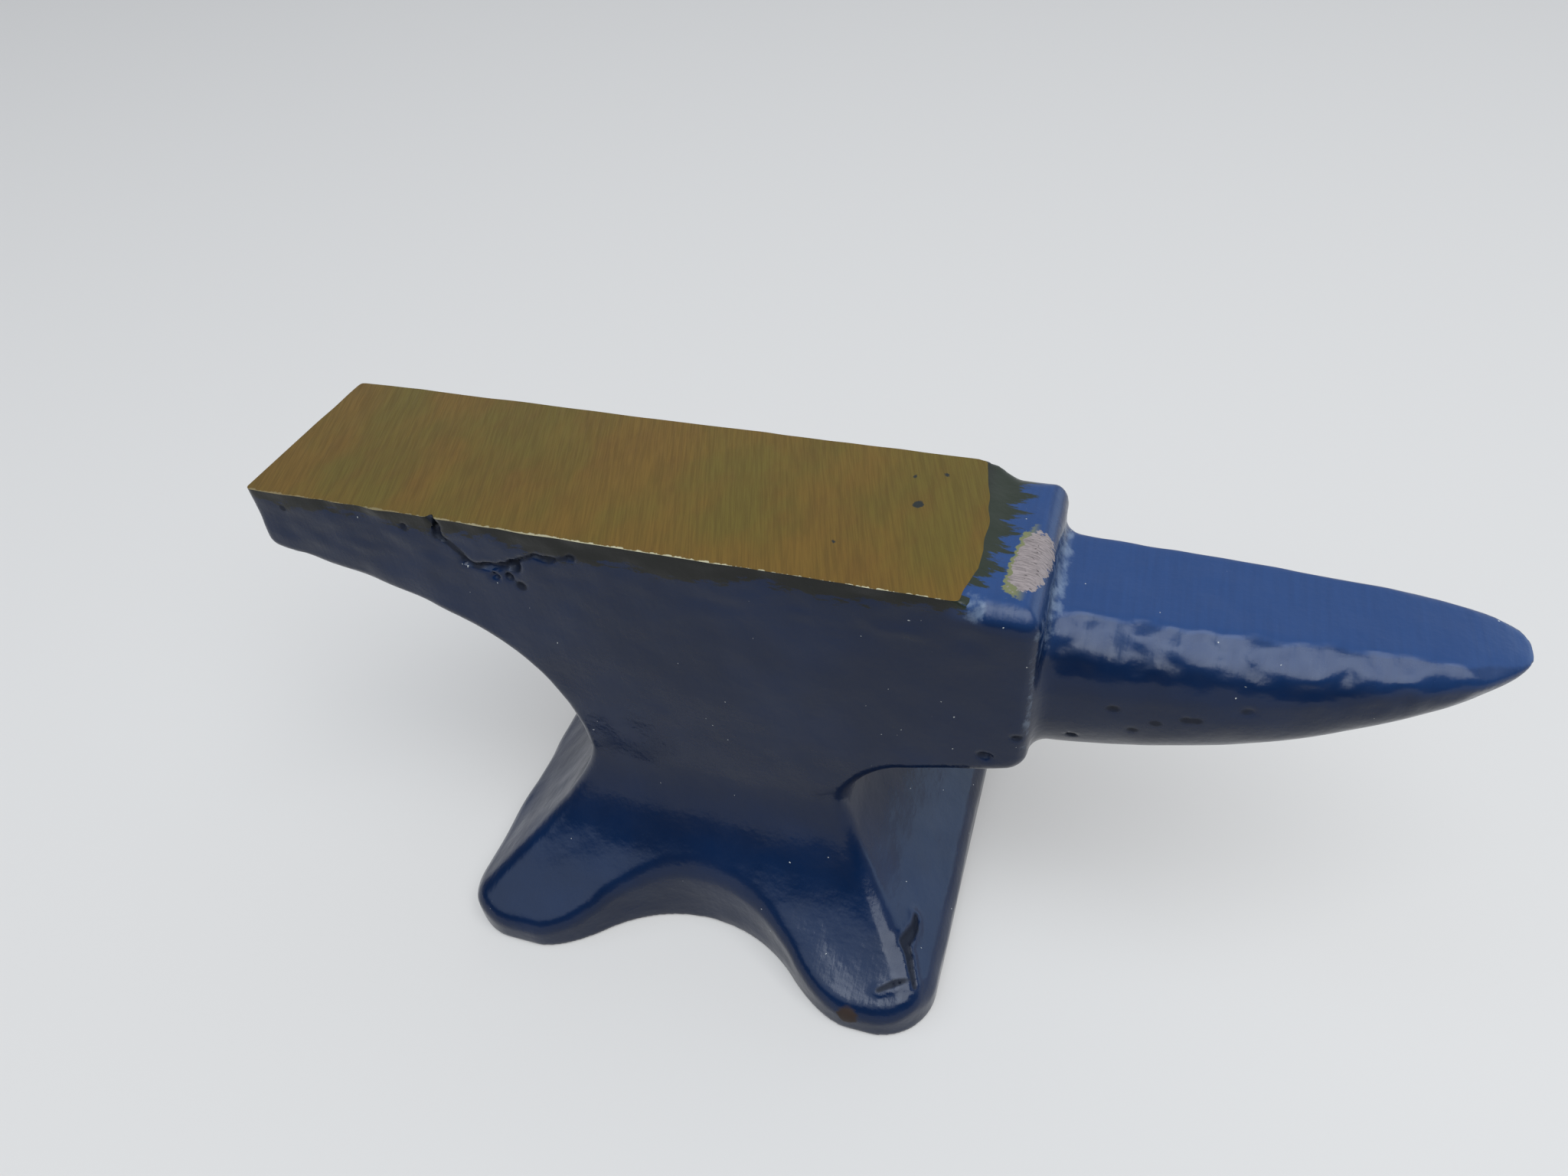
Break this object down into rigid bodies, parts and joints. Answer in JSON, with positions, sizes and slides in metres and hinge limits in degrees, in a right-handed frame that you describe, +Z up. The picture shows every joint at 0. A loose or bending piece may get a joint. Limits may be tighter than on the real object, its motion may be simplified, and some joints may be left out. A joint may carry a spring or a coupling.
{
  "type": "bench anvil",
  "caption": "Small cast bench anvil: flared base with arched sides, waist, square heel, flat ground work face, lower table and a tapered horn with a flat top.",
  "frame": {"origin": "centre of the base's flat sole", "axes": "+X from the heel to the horn, +Y to the far side, +Z up out of the work face"},
  "size_m": [0.12, 0.0494, 0.052],
  "materials": {
    "enamel": "gloss blue enamel over a slightly rough casting",
    "ground_face": "ground across its width, under a yellowed clear varnish"
  },
  "bodies": {
    "root": {"base": "enamel", "body": "enamel", "horn": "enamel", "face_plate": "ground_face"}
  },
  "joints": []
}
